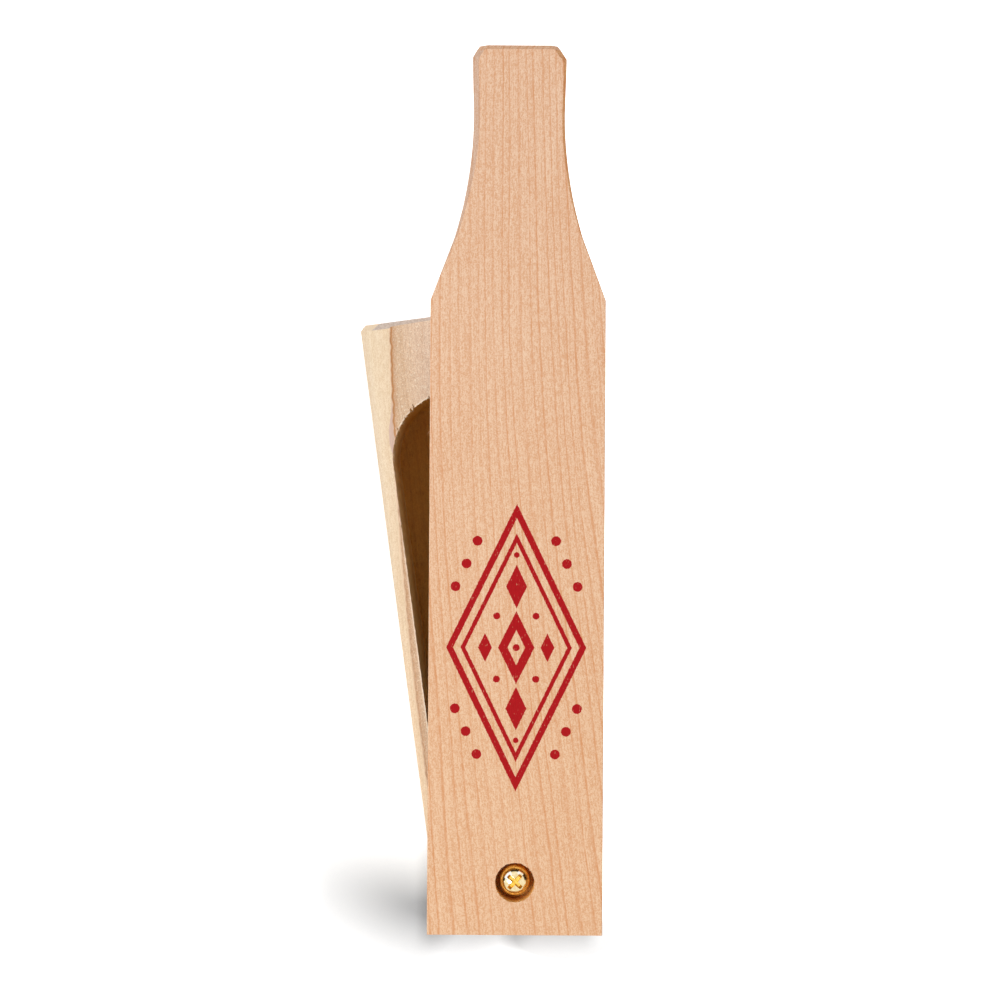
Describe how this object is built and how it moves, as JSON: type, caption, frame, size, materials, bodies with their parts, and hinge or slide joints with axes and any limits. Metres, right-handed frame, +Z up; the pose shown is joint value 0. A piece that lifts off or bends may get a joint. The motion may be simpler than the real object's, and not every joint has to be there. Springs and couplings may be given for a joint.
{
  "type": "friction bird call",
  "caption": "Wooden friction bird call: hollow sound box under a paddle lid that swings and tips on a sprung screw.",
  "frame": {"origin": "centre of the sound box's flat bottom face", "axes": "+Z up out of the box, +Y along the box from the hinge end to the handle, +X to the right seen from above"},
  "size_m": [0.0744, 0.2566, 0.0607],
  "materials": {
    "pale_wood": "bare milled, pale cream",
    "red_wood": "bare sanded, pinkish tan with fine straight grain",
    "screw_brass": "polished",
    "spring_wire": "drawn wire, dull"
  },
  "bodies": {
    "box": {"sound_box": "pale_wood", "pivot_screw": "screw_brass"},
    "spring": {"tension_spring": "spring_wire"},
    "paddle": {"paddle": "red_wood"}
  },
  "joints": [
    {"name": "paddle_tip", "type": "hinge", "parent": "box", "child": "spring", "pos_m": [0, -0.0878, 0.0445], "axis": [1, 0, 0], "range_deg": [0, 5], "stiffness_Nm_per_rad": 0.75, "springref_deg": -10.31, "deforming": ["tension_spring"]},
    {"name": "paddle_swing", "type": "hinge", "parent": "spring", "child": "paddle", "pos_m": [0, -0.0768, 0.05], "axis": [0, 0, 1], "continuous": true}
  ]
}
